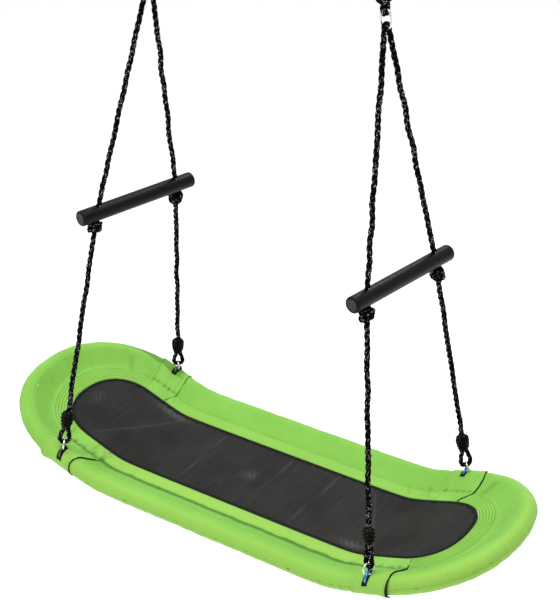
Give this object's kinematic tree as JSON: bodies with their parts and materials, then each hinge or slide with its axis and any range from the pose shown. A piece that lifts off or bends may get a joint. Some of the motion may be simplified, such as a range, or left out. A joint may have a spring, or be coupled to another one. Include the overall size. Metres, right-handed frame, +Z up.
{
  "type": "platform swing",
  "caption": "Oval padded platform swing with raised ends, hung from two rings by four ropes that each pass through a handle bar.",
  "frame": {"origin": "middle of the line on which the swing hangs, halfway between the lowest points of the two top rings", "axes": "+X along the platform to its right end, +Y across it to its back edge, +Z up"},
  "size_m": [1.5216, 0.5636, 1.5534],
  "materials": {
    "steel": "bright zinc plated",
    "frame_steel": "galvanised",
    "foam": "closed cell foam",
    "green_cloth": "coated woven cloth",
    "patch_cloth": "coated woven cloth",
    "mesh_mat": "flat woven tape yarn",
    "binding": "woven tape",
    "rope": "braided rope with pale flecks",
    "clamp": "moulded, ribbed",
    "grip": "smooth foam rubber skin",
    "plug": "moulded"
  },
  "bodies": {
    "hangers": {"hang_ring_left": "steel", "hang_ring_right": "steel"},
    "sling": {"hanging_eye_left": "rope", "hanging_eye_right": "rope", "hanging_knot_left": "rope", "hanging_knot_right": "rope", "hanging_rope_left": "rope", "hanging_rope_right": "rope"},
    "platform": {"cover_end_left": "green_cloth", "cover_end_right": "green_cloth", "cover_side_back": "green_cloth", "cover_side_front": "green_cloth", "foam_end_left": "foam", "foam_end_right": "foam", "foam_side_back": "foam", "foam_side_front": "foam", "frame_hoop_back_left": "steel", "frame_hoop_back_right": "steel", "frame_hoop_front_left": "steel", "frame_hoop_front_right": "steel", "frame_tube_left": "frame_steel", "frame_tube_right": "frame_steel", "mat_binding": "binding", "rope_patch_back_left": "patch_cloth", "rope_patch_back_right": "patch_cloth", "rope_patch_front_left": "patch_cloth", "rope_patch_front_right": "patch_cloth", "seat_mat": "mesh_mat"},
    "legs_left": {"clip_body_left": "steel", "handle_grip_left": "grip", "handle_knot_back_left": "rope", "handle_knot_front_left": "rope", "handle_plug_back_left": "plug", "handle_plug_front_left": "plug", "handle_tube_left": "frame_steel", "link_ring_back_left": "steel", "link_ring_front_left": "steel", "lower_rope_back_left": "rope", "lower_rope_front_left": "rope", "rope_clamp_back_left": "clamp", "rope_clamp_front_left": "clamp", "upper_rope_left": "rope"},
    "legs_right": {"clip_body_right": "steel", "handle_grip_right": "grip", "handle_knot_back_right": "rope", "handle_knot_front_right": "rope", "handle_plug_back_right": "plug", "handle_plug_front_right": "plug", "handle_tube_right": "frame_steel", "link_ring_back_right": "steel", "link_ring_front_right": "steel", "lower_rope_back_right": "rope", "lower_rope_front_right": "rope", "rope_clamp_back_right": "clamp", "rope_clamp_front_right": "clamp", "upper_rope_right": "rope"},
    "gate_left": {"clip_gate_left": "steel"},
    "gate_right": {"clip_gate_right": "steel"}
  },
  "joints": [
    {"name": "swing_sideways", "type": "hinge", "parent": "hangers", "child": "sling", "pos_m": [0, 0, 0], "axis": [1, 0, 0], "range_deg": [-45, 45]},
    {"name": "swing_lengthwise", "type": "hinge", "parent": "sling", "child": "legs_left", "pos_m": [-0.32209, 0, -0.14085], "axis": [0, 1, 0], "range_deg": [-12, 12]},
    {"name": "right_legs_follow", "type": "hinge", "parent": "sling", "child": "legs_right", "pos_m": [0.32217, 0, -0.14084], "axis": [0, 1, 0], "range_deg": [-12.5, 12.5]},
    {"name": "platform_level", "type": "hinge", "parent": "legs_left", "child": "platform", "pos_m": [-0.4805, 0, -1.40842], "axis": [0, 1, 0], "range_deg": [-9, 9]},
    {"name": "gate_left_opens", "type": "hinge", "parent": "legs_left", "child": "gate_left", "pos_m": [-0.33672, 0, -0.16021], "axis": [0, 1, 0], "range_deg": [0, 10], "stiffness_Nm_per_rad": 0.05, "springref_deg": -11.46},
    {"name": "gate_right_opens", "type": "hinge", "parent": "legs_right", "child": "gate_right", "pos_m": [0.33675, 0, -0.16024], "axis": [0, -1, 0], "range_deg": [0, 10], "stiffness_Nm_per_rad": 0.05, "springref_deg": -11.46}
  ],
  "couplings": [
    {"joint": "right_legs_follow", "follows": "swing_lengthwise", "ratio": 1},
    {"joint": "platform_level", "follows": "swing_lengthwise", "ratio": -0.6704}
  ]
}
